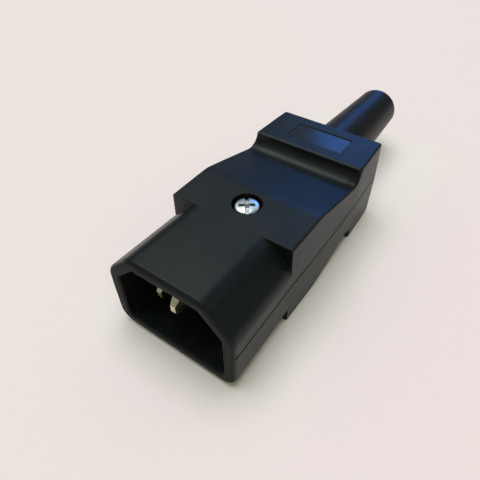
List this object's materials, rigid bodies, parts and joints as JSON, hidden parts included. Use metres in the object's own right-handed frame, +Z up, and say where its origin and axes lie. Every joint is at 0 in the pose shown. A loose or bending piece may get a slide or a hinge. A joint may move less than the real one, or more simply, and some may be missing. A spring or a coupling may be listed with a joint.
{
  "type": "rewireable in-line mains plug",
  "caption": "Black rewireable in-line mains plug with a hollow bevelled shroud round flat pins, a waisted split housing, a sunk cover screw and a tapered rubber boot.",
  "frame": {"origin": "middle of the plug's bounding box, on the surface that it lies on", "axes": "+Y runs along the plug from the shroud to the boot's end, +Z is up from the base through the cover, +X is to the right seen from the shroud with the cover up"},
  "size_m": [0.0298, 0.0926, 0.0218],
  "materials": {
    "housing": "fine satin moulding",
    "boot_rubber": "smooth satin",
    "pin_metal": "bright nickel plating over brass",
    "plated_steel": "bright zinc plating",
    "clamp_plastic": "satin moulding"
  },
  "bodies": {
    "root": {"base_shell": "housing", "cover_shell": "housing", "cover_screw": "plated_steel", "cover_nut": "plated_steel", "line_pin": "pin_metal", "neutral_pin": "pin_metal", "earth_pin": "pin_metal", "terminal_screws": "plated_steel", "cord_clamp_bar": "clamp_plastic", "cord_clamp_screws": "plated_steel", "strain_relief_boot": "boot_rubber"}
  },
  "joints": []
}
